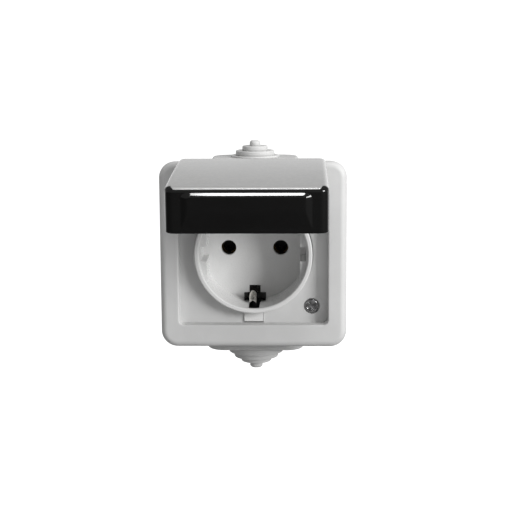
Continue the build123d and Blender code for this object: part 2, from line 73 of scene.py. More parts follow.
def round_corners(points: Array, cut: float, steps: int = 5) -> Array:
    """Rounds the corners of an open profile.

    Each inner corner b between its neighbours a and c becomes the curve
    (1-t)^2 p + 2 t (1-t) b + t^2 q, where p and q lie on the two sides at the
    given distance from b, or at CORNER_SHARE of the side where that is shorter.

    Args:
        points: corners of the profile, one row each.
        cut: distance from each corner at which its rounding starts.
        steps: points on each rounded corner.

    Returns:
        The rounded profile, one row per point.
    """
    before, corner, after = points[:-2], points[1:-1], points[2:]
    back, ahead = before - corner, after - corner
    back_long = np.linalg.norm(back, axis=1, keepdims=True)
    ahead_long = np.linalg.norm(ahead, axis=1, keepdims=True)
    start = corner + back / back_long * np.minimum(cut, CORNER_SHARE * back_long)
    end = corner + ahead / ahead_long * np.minimum(cut, CORNER_SHARE * ahead_long)
    t = np.linspace(0.0, 1.0, steps)[None, :, None]
    arcs = (1 - t) ** 2 * start[:, None] + 2 * t * (1 - t) * corner[:, None] + t**2 * end[:, None]
    return np.vstack([points[:1], arcs.reshape(-1, points.shape[1]), points[-1:]])


def grid_faces(rows: int, columns: int, rows_meet: bool = False, columns_meet: bool = True) -> Array:
    """Gives the quads of a grid of points.

    Args:
        rows: number of rows of points.
        columns: number of points in a row.
        rows_meet: True where the last row meets the first.
        columns_meet: True where the last column meets the first.

    Returns:
        Corner numbers, four to a row: a point, its next, and the same two of the next row.
    """
    bands, lanes = np.arange(rows - (not rows_meet)), np.arange(columns - (not columns_meet))
    row, column = np.meshgrid(bands, lanes, indexing="ij")
    next_row, next_column = (row + 1) % rows, (column + 1) % columns
    corners = [row * columns + column, row * columns + next_column]
    corners += [next_row * columns + next_column, next_row * columns + column]
    return np.stack(corners, axis=-1).reshape(-1, 4)


def show(name: str, data: object) -> Object:
    """Adds an object with the given mesh, light or camera to the scene."""
    shown = bpy.data.objects.new(name, data)
    bpy.context.scene.collection.objects.link(shown)
    return shown


def make_piece(name: str, points: Array, faces: Array, finish: Material) -> Object:
    """Makes a shaded mesh object from arrays in millimetres, welded and turned outwards.

    Args:
        name: name of the piece.
        points: one row of X, Y and Z for each vertex, in millimetres.
        faces: one row of corner numbers for each quad.
        finish: material of the piece.

    Returns:
        The new object, at the origin.
    """
    mesh = bpy.data.meshes.new(name)
    mesh.from_pydata((points * MM).tolist(), [], faces.tolist())
    shell = bmesh.new()
    shell.from_mesh(mesh)
    bmesh.ops.remove_doubles(shell, verts=shell.verts, dist=WELD)
    bmesh.ops.recalc_face_normals(shell, faces=shell.faces)
    shell.to_mesh(mesh)
    shell.free()
    mesh.polygons.foreach_set("use_smooth", np.ones(len(mesh.polygons), dtype=bool))
    mesh.set_sharp_from_angle(angle=SHARP_ANGLE)
    mesh.materials.append(finish)
    LOG.info("%s built", name)
    return show(name, mesh)


def join_shapes(shapes: list[Shape]) -> Shape:
    """Joins shapes of points and faces into one, with each shape's corner numbers moved on."""
    counts = np.cumsum([0] + [len(points) for points, _ in shapes])
    faces = [corners + count for (_, corners), count in zip(shapes, counts)]
    return np.vstack([points for points, _ in shapes]), np.vstack(faces)


def smooth_step(share: Array) -> Array:
    """Gives 3t^2 - 2t^3 of shares that are first held between 0 and 1."""
    held = np.clip(share, 0.0, 1.0)
    return 3 * held**2 - 2 * held**3


def soft_ring(wide: float, tall: float, power: float) -> tuple[Array, Array]:
    """Gives a soft rectangle: sign(cos)|cos|^power wide / 2, and the same of sin with tall."""
    turn = np.linspace(0.0, 2 * math.pi, SOFT_RING_STEPS, endpoint=False)
    parts = (np.cos(turn), wide), (np.sin(turn), tall)
    return tuple(np.sign(part) * np.abs(part) ** power * size / 2 for part, size in parts)


@dataclass(frozen=True)
class TurningAxis:
    """A place and direction about which a profile is turned, in millimetres."""

    origin: Point
    along: Point

    def turn(self, radius: Array, height: Array, angle: Array) -> Array:
        """Places points by cylinder coordinates.

        A point is origin + radius (cos(angle) X + sin(angle) other) + height along,
        with other square to the axis and to X.

        Args:
            radius: distance from the axis of each point of the grid.
            height: distance along the axis.
            angle: turn about the axis.

        Returns:
            One row of X, Y and Z for each point, row by row of the grid.
        """
        along = np.array(self.along) / np.linalg.norm(self.along)
        across = np.array([1.0, 0.0, 0.0])
        side = np.cos(angle)[..., None] * across + np.sin(angle)[..., None] * np.cross(along, across)
        points = np.array(self.origin) + radius[..., None] * side + height[..., None] * along
        return points.reshape(-1, 3)

    def sweep(self, section: Array, segments: int) -> Shape:
        """Turns a section once round the axis.

        Args:
            section: radius and height of each point of the section.
            segments: steps round the axis.

        Returns:
            Points and faces.
        """
        angle = np.linspace(0.0, 2 * math.pi, segments, endpoint=False)
        turns, rows = np.meshgrid(angle, np.arange(len(section)))
        points = self.turn(section[rows, 0], section[rows, 1], turns)
        return points, grid_faces(len(section), segments)


@dataclass(frozen=True)
class LidHinge:
    """The line of the lid's hinge, in millimetres, and how far the lid stands open."""

    height: float = 44.6
    z: float = 26.0
    opening_deg: float = 85.3

    def along_lid(self, distance: float) -> tuple[Array, Array, Array]:
        """Gives the point at a distance along the lid, the direction there and the one out of its face."""
        turn = math.radians(self.opening_deg)
        forward = np.array([0.0, -math.sin(turn), -math.cos(turn)])
        outward = np.array([0.0, -math.cos(turn), math.sin(turn)])
        return np.array([0.0, -self.height, self.z]) + distance * forward, forward, outward


HINGE = LidHinge()


# ---- shared effects, each a node group built once


@dataclass
class NodeBoard:
    """One node tree with short ways to add nodes and to join them."""

    tree: Tree

    def add(self, kind: str, values: Values | None = None, **settings: object) -> Node:
        """Adds a node.

        Args:
            kind: Blender's name for the node type, without its prefix.
            values: what its inputs get, by name or number.
            settings: attributes to set on the node.

        Returns:
            The new node.
        """
        node = self.tree.nodes.new(("ShaderNode" if kind[:4] != "Node" else "") + kind)
        for key, value in settings.items():
            setattr(node, key, value)
        self.feed(node, values or {})
        return node

    def feed(self, node: Node, values: Values) -> None:
        """Joins sockets to a node's inputs, or sets the inputs to numbers and colours.

        Args:
            node: the node.
            values: what its inputs get, by name or number.
        """
        for key, value in values.items():
            target = node.inputs[key]
            if isinstance(value, Socket):
                self.tree.links.new(value, target)
            else:
                target.default_value = (*value, 1.0) if target.type == "RGBA" else value

    def math(self, operation: str, first: object, second: object) -> Socket:
        """Adds a Math node on two sockets or numbers and gives its result."""
        return self.add("Math", {0: first, 1: second}, operation=operation).outputs[0]

    def noise(self, place: Socket, scale: object, detail: float = 2.0, bend: float = 0.0) -> Socket:
        """Adds a noise of a scale, with some detail and bend, read at place, and gives its value."""
        values = {"Vector": place, "Scale": scale, "Detail": detail, "Distortion": bend}
        return self.add("TexNoise", values).outputs["Fac"]

    def remap(self, value: Socket, low: float, high: float, start: float = 0.0, end: float = 1.0) -> Socket:
        """Maps a value from low and high to start and end, and holds it between them."""
        values = {"Value": value, "From Min": low, "From Max": high, "To Min": start, "To Max": end}
        return self.add("MapRange", values, clamp=True).outputs[0]

    def tint(self, share: Socket, first: object, second: object) -> Socket:
        """Mixes two colours, each a colour or a socket, by the share of the second one."""
        return self.add("Mix", {0: share, 6: first, 7: second}, data_type="RGBA", blend_type="MIX").outputs[2]


class Effect(Enum):
    """Effects that several finishes share."""

    GRAIN = "moulding_grain"
    CLOUD = "tone_cloud"
    DUST = "settled_dust"
    EDGE = "rubbed_edge"
    LINES = "drawn_lines"


class EffectShelf:
    """Builds each shared node group the first time that a finish asks for it."""

    def __init__(self) -> None:
        """Starts with an empty shelf."""
        self.made: dict[Effect, Tree] = {}

    def get(self, effect: Effect) -> Tree:
        """Gives the group of an effect, built once."""
        if effect not in self.made:
            self.made[effect] = getattr(self, "build_" + effect.name.lower())(effect.value)
        return self.made[effect]

    @staticmethod
    def start(
        name: str, key: str, value: float, outputs: tuple[str, ...]
    ) -> tuple[NodeBoard, Socket, Socket, Node]:
        """Starts a group with a Vector input, one number input and number outputs.

        Args:
            name: the group's name.
            key: name of the number input.
            value: its default value.
            outputs: names of the outputs.

        Returns:
            The board, the sockets of both inputs and the group's output node.
        """
        tree = bpy.data.node_groups.new(name, "ShaderNodeTree")
        tree.interface.new_socket("Vector", in_out="INPUT", socket_type="NodeSocketVector")
        number = tree.interface.new_socket(key, in_out="INPUT", socket_type="NodeSocketFloat")
        number.default_value = value
        for output in outputs:
            tree.interface.new_socket(output, in_out="OUTPUT", socket_type="NodeSocketFloat")
        board = NodeBoard(tree)
        given = board.add("NodeGroupInput").outputs
        return board, given["Vector"], given[key], board.add("NodeGroupOutput")

    def build_grain(self, name: str) -> Tree:
        """Fine spark-eroded skin of a moulding: two noises, the finer on the coarser one."""
        board, place, scale, result = self.start(name, "Scale", 2600.0, ("Height", "Speckle"))
        coarse_scale, coarse_share, detail = 0.31, 0.35, 3.0
        speckle_low, speckle_high = 0.38, 0.68
        fine, coarse = (
            board.noise(place, board.math("MULTIPLY", scale, share), detail)
            for share in (1.0, coarse_scale)
        )
        height = board.math("ADD", fine, board.math("MULTIPLY", coarse, coarse_share))
        board.feed(result, {"Height": height, "Speckle": board.remap(fine, speckle_low, speckle_high)})
        return board.tree

    def build_cloud(self, name: str) -> Tree:
        """Slow change of tone over a moulding, from two broad noises."""
        board, place, scale, result = self.start(name, "Scale", 60.0, ("Mask",))
        flow_scale, flow_share, bend = 3.7, 0.35, 0.6
        tone_low, tone_high = 0.36, 0.64
        broad, flow = (
            board.noise(place, board.math("MULTIPLY", scale, share), detail, bend)
            for share, detail in ((1.0, 2.0), (flow_scale, 5.0))
        )
        slow, quick = board.math("MULTIPLY", broad, 1.0 - flow_share), board.math("MULTIPLY", flow, flow_share)
        board.feed(result, {"Mask": board.remap(board.math("ADD", slow, quick), tone_low, tone_high)})
        return board.tree

    @staticmethod
    def scale_mask(board: NodeBoard, result: Node, amount: Socket, first: Socket, second: Socket) -> Tree:
        """Ends a group whose mask is the product of two masks and its Amount."""
        both = board.math("MULTIPLY", first, second)
        board.feed(result, {"Mask": board.math("MULTIPLY", both, amount)})
        return board.tree

    def build_dust(self, name: str) -> Tree:
        """Dust on the faces that look up, broken up by a noise."""
        board, place, amount, result = self.start(name, "Amount", 0.2, ("Mask",))
        level_from, speck_scale, speck_detail, speck_mask = 0.35, 900.0, 6.0, (0.42, 0.7, 0.15)
        split = board.add("SeparateXYZ", {0: board.add("NewGeometry").outputs["Normal"]})
        speck = board.noise(place, speck_scale, speck_detail)
        upward = board.remap(split.outputs["Z"], level_from, 1.0)
        return self.scale_mask(board, result, amount, upward, board.remap(speck, *speck_mask))

    def build_edge(self, name: str) -> Tree:
        """Edges rubbed by handling: where the softened normal leaves the true one, broken up by a noise."""
        board, place, amount, result = self.start(name, "Amount", 0.5, ("Mask",))
        soft_radius, cos_flat, cos_edge = 0.35 * MM, 0.995, 0.8
        speck_scale, speck_mask = 700.0, (0.3, 0.65, 0.35)
        soft = board.add("Bevel", {"Radius": soft_radius}, samples=4).outputs["Normal"]
        true = board.add("NewGeometry").outputs["Normal"]
        dot = board.add("VectorMath", {0: soft, 1: true}, operation="DOT_PRODUCT")
        bent = board.remap(dot.outputs["Value"], cos_flat, cos_edge)
        speck = board.noise(place, speck_scale)
        return self.scale_mask(board, result, amount, bent, board.remap(speck, *speck_mask))

    def build_lines(self, name: str) -> Tree:
        """Fine lines of drawn or rolled metal, a noise stretched along one direction, and dull stains."""
        board, place, scale, result = self.start(name, "Scale", 4000.0, ("Height", "Mask"))
        line_stretch, line_detail = (1.0, 0.06, 0.5), 4.0
        stain_scale, stain_detail, stain_low, stain_high = 420.0, 5.0, 0.4, 0.66
        stretch = board.add("Mapping", {"Vector": place, "Scale": line_stretch})
        line = board.noise(stretch.outputs["Vector"], scale, line_detail)
        stain = board.noise(place, stain_scale, stain_detail)
        board.feed(result, {"Height": line, "Mask": board.remap(stain, stain_low, stain_high)})
        return board.tree


SHELF = EffectShelf()


def effect(board: NodeBoard, kind: Effect, place: Socket, value: float) -> dict[str, Socket]:
    """Places a shared effect in a material.

    Args:
        board: the material's board.
        kind: which effect.
        place: socket of the coordinates that it reads.
        value: number for its other input, a scale or an amount.

    Returns:
        The group's output sockets by name.
    """
    node = board.add("Group", node_tree=SHELF.get(kind))
    board.feed(node, {"Vector": place, 1: value})
    return {socket.name: socket for socket in node.outputs}


def start_finish(name: str) -> tuple[Material, NodeBoard, Node, Socket]:
    """Starts a material: gives it with its board, its Principled node and its Object coordinates."""
    finish = bpy.data.materials.new(name)
    finish.use_nodes = True
    board = NodeBoard(finish.node_tree)
    surface = finish.node_tree.nodes["Principled BSDF"]
    return finish, board, surface, board.add("TexCoord").outputs["Object"]


def add_skin(board: NodeBoard, surface: Node, height: Socket, strength: float, depth: float) -> None:
    """Gives a surface a bump of a depth in millimetres, and strength as the share that shows."""
    skin = board.add("Bump", {"Height": height, "Strength": strength, "Distance": depth * MM})
    board.feed(surface, {"Normal": skin.outputs["Normal"]})


@dataclass(frozen=True)
class MouldedFinish:
    """A moulded plastic or rubber with a fine skin, a slow change of tone, rubbed edges and dust."""

    name: str
    colour: Colour
    shade: Colour
    edge: Colour
    rough_low: float
    rough_high: float
    grain_scale: float
    grain_depth: float
    bump: float = 0.25
    edge_amount: float = 0.35
    dust_amount: float = 0.12
    dust: Colour = (0.62, 0.6, 0.57)
    sheen: float = 0.0
    cloud_scale: float = 55.0
    speckle_share: float = 0.12
    dust_rough: float = 0.3

    def make(self) -> Material:
        """Builds the material.

        Returns:
            The finished material.
        """
        finish, board, surface, place = start_finish(self.name)
        grain = effect(board, Effect.GRAIN, place, self.grain_scale)
        cloud = effect(board, Effect.CLOUD, place, self.cloud_scale)["Mask"]
        dust = effect(board, Effect.DUST, place, self.dust_amount)["Mask"]
        edge = effect(board, Effect.EDGE, place, self.edge_amount)["Mask"]
        toned = board.tint(cloud, self.colour, self.shade)
        speckle = board.math("MULTIPLY", grain["Speckle"], self.speckle_share)
        rubbed = board.tint(edge, board.tint(speckle, toned, self.shade), self.edge)
        rough = board.remap(grain["Speckle"], 0.0, 1.0, self.rough_low, self.rough_high)
        dusty = board.math("ADD", rough, board.math("MULTIPLY", dust, self.dust_rough))
        colour = board.tint(dust, rubbed, self.dust)
        board.feed(surface, {"Base Color": colour, "Roughness": dusty, "Sheen Weight": self.sheen})
        add_skin(board, surface, grain["Height"], self.bump, self.grain_depth)
        return finish


@dataclass(frozen=True)
class MetalFinish:
    """A drawn or plated metal with fine lines, dull stains, bright edges and, where asked, painted shade near
    the wall.
    """

    name: str
    colour: Colour
    stain: Colour
    edge: Colour
    rough_low: float
    rough_high: float
    line_scale: float = 4000.0
    line_depth: float = 0.004
    bump: float = 0.35
    edge_amount: float = 0.8
    stain_share: float = 0.55
    # Painted shade: how far above the wall the metal is darkened, over what run it lifts, how much of its own
    # tone is kept, and the colour it darkens to.
    dark_height: float = 0.0
    dark_run: float = 3.0
    dark_share: float = 0.12
    dark: Colour = (0.01, 0.01, 0.009)

    def make(self) -> Material:
        """Builds the material, darkened by painted shade near the wall up to the given height above it, where
        a height is given.

        Returns:
            The finished material.
        """
        finish, board, surface, place = start_finish(self.name)
        lines = effect(board, Effect.LINES, place, self.line_scale)
        edge = effect(board, Effect.EDGE, place, self.edge_amount)["Mask"]
        stained = board.math("MULTIPLY", lines["Mask"], self.stain_share)
        tone = board.tint(edge, board.tint(stained, self.colour, self.stain), self.edge)
        # Painted shade: the metal turns dark near the wall, where the clip's foot lies deep in the slot.
        if self.dark_height:
            split = board.add("SeparateXYZ", {0: place})
            start, end = -self.dark_height * MM, -(self.dark_height + self.dark_run) * MM
            tone = board.tint(board.remap(split.outputs["Y"], start, end, self.dark_share), self.dark, tone)
        rough = board.remap(lines["Mask"], 0.0, 1.0, self.rough_low, self.rough_high)
        board.feed(surface, {"Base Color": tone, "Roughness": rough, "Metallic": 1.0})
        add_skin(board, surface, lines["Height"], self.bump, self.line_depth)
        return finish


HOUSING_GREY = MouldedFinish(
    "housing_grey_moulding", (0.6, 0.6, 0.597), (0.565, 0.565, 0.562), (0.66, 0.66, 0.655),
    rough_low=0.46, rough_high=0.6, grain_scale=2400.0, grain_depth=0.05,
)
LID_GREY = MouldedFinish(
    "lid_grey_moulding", (0.37, 0.37, 0.368), (0.35, 0.35, 0.347), (0.39, 0.39, 0.387),
    rough_low=0.14, rough_high=0.2, grain_scale=4200.0, grain_depth=0.006,
)
LID_BLACK = MouldedFinish(
    "lid_black_moulding", (0.0032, 0.0031, 0.003), (0.0044, 0.0043, 0.0042), (0.012, 0.0118, 0.0115),
    rough_low=0.07, rough_high=0.11, grain_scale=3000.0, grain_depth=0.003,
    bump=0.08, edge_amount=0.25, dust_amount=0.006,
)
INSERT_WHITE = MouldedFinish(
    "insert_light_moulding", (0.73, 0.73, 0.725), (0.69, 0.69, 0.685), (0.8, 0.8, 0.79),
    rough_low=0.26, rough_high=0.38, grain_scale=2800.0, grain_depth=0.03,
)
CARRIER = MouldedFinish(
    "carrier_dark_moulding", (0.16, 0.16, 0.158), (0.12, 0.12, 0.118), (0.25, 0.25, 0.245),
    rough_low=0.45, rough_high=0.6, grain_scale=2000.0, grain_depth=0.06,
)
GLAND_RUBBER = MouldedFinish(
    "entry_grey_rubber", (0.62, 0.62, 0.615), (0.57, 0.57, 0.565), (0.7, 0.7, 0.69),
    rough_low=0.5, rough_high=0.68, grain_scale=1700.0, grain_depth=0.07, sheen=0.15,
)
SEAL_RUBBER = MouldedFinish(
    "seal_dark_rubber", (0.045, 0.045, 0.044), (0.03, 0.03, 0.029), (0.09, 0.09, 0.088),
    rough_low=0.55, rough_high=0.72, grain_scale=1800.0, grain_depth=0.06, sheen=0.2,
)
ZINC_STEEL = MetalFinish(
    "zinc_plated_steel", (0.5, 0.5, 0.505), (0.24, 0.24, 0.24), (0.95, 0.95, 0.95),
    rough_low=0.2, rough_high=0.36,
)
# Brass darkened well below its own colour: painted shade that keeps the contacts in the pin holes dark.
SHADE_DARKENED_BRASS = MetalFinish(
    "shade_darkened_brass", (0.13, 0.088, 0.034), (0.07, 0.047, 0.018), (0.22, 0.15, 0.06),
    rough_low=0.24, rough_high=0.45,
)
# The clip's foot gets painted shade, dark up to 25.5 mm above the wall.
NICKEL = MetalFinish(
    "nickel_plated_spring", (0.8, 0.78, 0.73), (0.42, 0.39, 0.34), (1.0, 0.98, 0.93),
    rough_low=0.2, rough_high=0.36, dark_height=25.5,
)
FINISHES = (
    HOUSING_GREY, LID_GREY, LID_BLACK, INSERT_WHITE, CARRIER,
    GLAND_RUBBER, SEAL_RUBBER, ZINC_STEEL, SHADE_DARKENED_BRASS, NICKEL,
)


# ---- pieces


@dataclass(frozen=True)
class StandingNodes:
    """CAD nodes whose shape is right, sorted by the finish that they get."""

    finishes: tuple[tuple[object, tuple[str, ...]], ...] = (
        (HOUSING_GREY, ("back_box", "front_cover")),
        (SEAL_RUBBER, ("cover_gasket",)),
        (INSERT_WHITE, ("socket_insert",)),
        (CARRIER, ("contact_carrier",)),
        (SHADE_DARKENED_BRASS, ("line_contact", "neutral_contact", "line_clamp", "neutral_clamp", "earth_clamp")),
        (LID_GREY, ("lid_shell",)),
        (ZINC_STEEL, ("hinge_pin",)),
    )

    def dress(self, made: dict[str, Material]) -> None:
        """Puts each node's finish into its material slots.

        Args:
            made: the built materials by finish name.
        """
        for finish, name in ((finish, name) for finish, names in self.finishes for name in names):
            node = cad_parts[name]
            node.data.materials.clear()
            node.data.materials.append(made[finish.name])
            LOG.info("%s dressed in %s", name, finish.name)


@dataclass
class SteppedGland:
    """A rubber cable entry: hollow rings that step down to a closed tip, with rounded edges."""

    name: str
    pad_reach: float
    radii: tuple[float, float, float, float]
    reaches: tuple[float, float, float, float]
    axis_height: float = 15.0
    pad_wall: float = 2.2
    flange: float = 1.5
    wall: float = 1.2
    inset: float = 0.5
    crease: float = 0.6
    crease_sink: float = 0.4
    swell_start: float = 0.12
    shoulder: float = 0.3
    dome: float = 0.6
    edge: float = 0.3
    segments: int = 96

    def outline(self) -> Array:
        """Gives the closed section as radius and distance beyond the centre line.

        The section runs from the inner flange, out round the pad, over the rings
        to the tip and back inside the hollow. Each ring swells from a crease at
        radius - crease to its full radius and ends at radius - shoulder, the tip at
        radius - dome.

        Returns:
            Radius and Z of each point of the section.
        """
        out = math.copysign(1.0, self.pad_reach)
        inner = self.pad_reach - out * self.pad_wall
        end = inner - out * self.flange
        wide = self.radii[0] - self.inset
        corners = [(self.radii[1] - self.wall, end), (wide, end), (wide, inner)]
        corners += [(self.radii[1], inner), (self.radii[1], self.pad_reach)]
        foot = self.pad_reach
        for radius, reach in zip(self.radii, self.reaches):
            tall = abs(reach - foot)
            corners.append((radius - self.crease, foot - out * self.crease_sink))
            corners.append((radius, foot + out * self.swell_start * tall))
            soft = self.dome if reach == self.reaches[-1] else self.shoulder
            corners.append((radius, reach - out * soft))
            corners.append((radius - soft, reach))
            foot = reach
        corners += [(0.0, self.reaches[-1]), (0.0, self.reaches[-1] - out * self.wall)]
        for ring in range(len(self.radii) - 1, 0, -1):
            bore = max(self.radii[ring] - self.wall, self.wall / 2)
            corners.append((bore, self.reaches[ring] - out * self.wall))
            corners.append((bore, self.reaches[ring - 1] - out * self.wall))
        corners.append((self.radii[1] - self.wall, end))
        return np.array(corners, float)

    def build(self, finish: Material) -> None:
        """Turns the rounded section about the entry's axis.

        Args:
            finish: the rubber.
        """
        axis = TurningAxis((0.0, -self.axis_height, 0.0), (0.0, 0.0, 1.0))
        points, faces = axis.sweep(round_corners(self.outline(), self.edge), self.segments)
        piece = make_piece(self.name + "_rings", points, faces, finish)
        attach(piece, Body.HOUSING.value)
        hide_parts(self.name)


@dataclass
class EndPiece:
    """The glossy black end of the lid: a thin shell round the corners with a smooth finger pad."""

    lid_long: float = 50.0
    half: float = 25.5
    thick: float = 2.6
    corner: float = 3.0
    foot: float = -6.6
    foot_round: float = 0.6
    plate_line: float = 7.35
    horn_top: float = 8.05
    horn_start: float = 22.5
    horn_run: float = 1.1
    top_round: float = 1.7
    pad_half: float = 20.3
    pad_low: float = -5.2
    pad_high: float = 6.5
    pad_rise: float = 1.1
    ledge_run: float = 1.12
    side_run: float = 2.0
    low_run: float = 5.5
    pad_corner: float = 1.7
    soft: float = 0.14
    foot_soft: float = 0.042
    pad_cut: float = 0.03
    least: float = 0.02
    crowding: float = 0.16
    tongue_x: float = 19.75
    tongue_size: Point = (5.5, 1.3, 5.0)
    tongue_level: float = 5.65
    tongue_power: float = 0.25
    tongue_root: float = 0.2
    tongue_bevel: float = 0.15
    tongue_end: float = 0.85
    columns: int = 300
    arc_columns: int = 28
    rows: int = 90

    def pad_at(self, across: Array, out: Array) -> Array:
        """Gives the rise of the finger pad over the end face.

        With a, b and c the distances in from the sides, the top and the foot of the
        pad, each divided by its own run, p is their smallest, with a circle where a
        and b meet. The smooth minimum of p and 1 is
        m = (p + 1 - sqrt((p - 1)^2 + soft^2)) / 2. The rise is pad_rise times
        (m + sqrt(m^2 + foot_soft^2)) / 2, or 0 where that share is below pad_cut.

        Args:
            across: distance from the middle of the lid.
            out: distance from the line of the hinge along the lid's outward direction.

        Returns:
            Rise above the end face.
        """
        side = (self.pad_half - np.abs(across)) * self.ledge_run / self.side_run
        top = self.pad_high - out
        low = (out - self.pad_low) * self.ledge_run / self.low_run
        past_side, past_top = (np.maximum(self.pad_corner - gap, 0.0) for gap in (side, top))
        near = np.hypot(past_side, past_top)
        edge = np.where(near > 0, self.pad_corner - near, np.minimum(side, top))
        inside = np.minimum(edge, low) / self.ledge_run
        smooth = (inside + 1.0 - np.sqrt((inside - 1.0) ** 2 + self.soft**2)) / 2
        lifted = (smooth + np.sqrt(smooth**2 + self.foot_soft**2)) / 2
        return self.pad_rise * lifted * (lifted > self.pad_cut)

    def plan(self) -> Array:
        """Gives the outline of the end seen from above, a straight front between two circle arcs.

        Returns:
            Rows of X and depth of its points, and of X and depth of their normals.
        """
        centre = self.thick - self.corner
        start = math.pi - math.asin(-centre / self.corner)
        turn = np.linspace(start, math.pi / 2, self.arc_columns)
        side, ahead = np.cos(turn), np.sin(turn)
        flat = self.half - self.corner
        left = np.stack([self.corner * side - flat, centre + self.corner * ahead, side, ahead])
        straight = np.linspace(-1.0, 1.0, self.columns)[1:-1] * flat
        level = np.ones_like(straight)
        front = np.stack([straight, self.thick * level, 0.0 * level, level])
        return np.hstack([left, front, left[:, ::-1] * np.array([[-1.0], [1.0], [-1.0], [1.0]])])

    def place(self, x: Array, depth: Array, out: Array) -> Array:
        """Turns X, depth in front of the lid's end and outward distance into rows of X, Y and Z."""
        origin, forward, outward = HINGE.along_lid(self.lid_long - self.thick)
        right = np.array([1.0, 0.0, 0.0])
        points = origin + x[..., None] * right + depth[..., None] * forward + out[..., None] * outward
        return points.reshape(-1, 3)

    def shell(self) -> Shape:
        """Gives the points and faces of the end: a front grid and a flat back grid that meet all round.

        The front follows the plan outline, drawn in along its normal by
        r - sqrt(r^2 - d^2) near the foot and near the top, plus the pad's rise. Its
        top edge climbs by a smooth step to the horns at both ends, and its rows lie
        at t - crowding sin(2 pi t), closer together at the foot and at the top.

        Returns:
            Points and faces.
        """
        x, w, normal_x, normal_w = self.plan()
        rise = smooth_step((np.abs(x) - self.horn_start) / self.horn_run)
        top = self.plate_line + (self.horn_top - self.plate_line) * rise
        share = np.linspace(0.0, 1.0, self.rows)[:, None]
        share = share - self.crowding * np.sin(2 * math.pi * share)
        out = self.foot + share * (top - self.foot)[None, :]
        over_top = np.clip(out - (self.horn_top - self.top_round), 0.0, self.top_round)
        over_foot = np.clip(self.foot + self.foot_round - out, 0.0, self.foot_round)
        inset = self.top_round - np.sqrt(self.top_round**2 - over_top**2)
        inset += self.foot_round - np.sqrt(self.foot_round**2 - over_foot**2)
        front_x = x[None, :] - inset * normal_x[None, :]
        front_w = np.maximum(w[None, :] - inset * normal_w[None, :], self.least)
        front_w[:, [0, -1]] = 0.0
        front_w += self.pad_at(front_x, out) * (np.abs(front_x) < self.half - self.corner)
        ring_x = np.concatenate([front_x, front_x[::-1]])
        ring_w = np.concatenate([front_w, np.zeros_like(front_w)])
        ring_out = np.concatenate([out, out[::-1]])
        faces = grid_faces(*ring_x.shape, rows_meet=True, columns_meet=False)
        return self.place(ring_x, ring_w, ring_out), faces

    def tongue(self, side: float) -> Shape:
        """Gives one clip tongue: rounded rectangles along the depth, drawn in at both ends.

        Args:
            side: -1 for the left one, 1 for the right one.

        Returns:
            Points and faces.
        """
        wide, tall, long = self.tongue_size
        ring_x, ring_out = soft_ring(wide, tall, self.tongue_power)
        depth = np.array([-long, -long, self.tongue_bevel - long, self.tongue_root, self.tongue_root])[:, None]
        size = np.array([0.0, self.tongue_end, 1.0, 1.0, 0.0])[:, None]
        points = self.place(side * self.tongue_x + size * ring_x, depth, self.tongue_level + size * ring_out)
        return points, grid_faces(len(depth), SOFT_RING_STEPS)

    def build(self, finish: Material) -> None:
        """Builds the end with its two tongues.

        Args:
            finish: the black moulding.
        """
        points, faces = join_shapes([self.shell(), self.tongue(-1.0), self.tongue(1.0)])
        piece = make_piece("lid_grip_shell", points, faces, finish)
        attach(piece, Body.LID.value)
        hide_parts("lid_grip")


def soft_slab(centre: Point, size: Point, along: int, bevel: float = 0.15) -> Shape:
    """Gives a flat bar whose cross-sections are soft rings, drawn in at both ends.

    Args:
        centre: middle of the bar.
        size: its sides along X, Y and Z.
        along: axis of its length, 0 for X, 1 for Y and 2 for Z.
        bevel: length of the drawn-in ends.

    Returns:
        Points and faces.
    """
    power, end_size = 0.22, 0.94
    half = size[along] / 2
    length = np.array([-half, -half, bevel - half, half - bevel, half, half])[:, None]
    share = np.array([0.0, end_size, 1.0, 1.0, end_size, 0.0])[:, None]
    first, second = [axis for axis in range(3) if axis != along]
    across, over = soft_ring(size[first], size[second], power)
    points = np.zeros((len(length), SOFT_RING_STEPS, 3))
    points[..., first], points[..., second], points[..., along] = share * across, share * over, length
    return (points + np.array(centre)).reshape(-1, 3), grid_faces(len(length), SOFT_RING_STEPS)


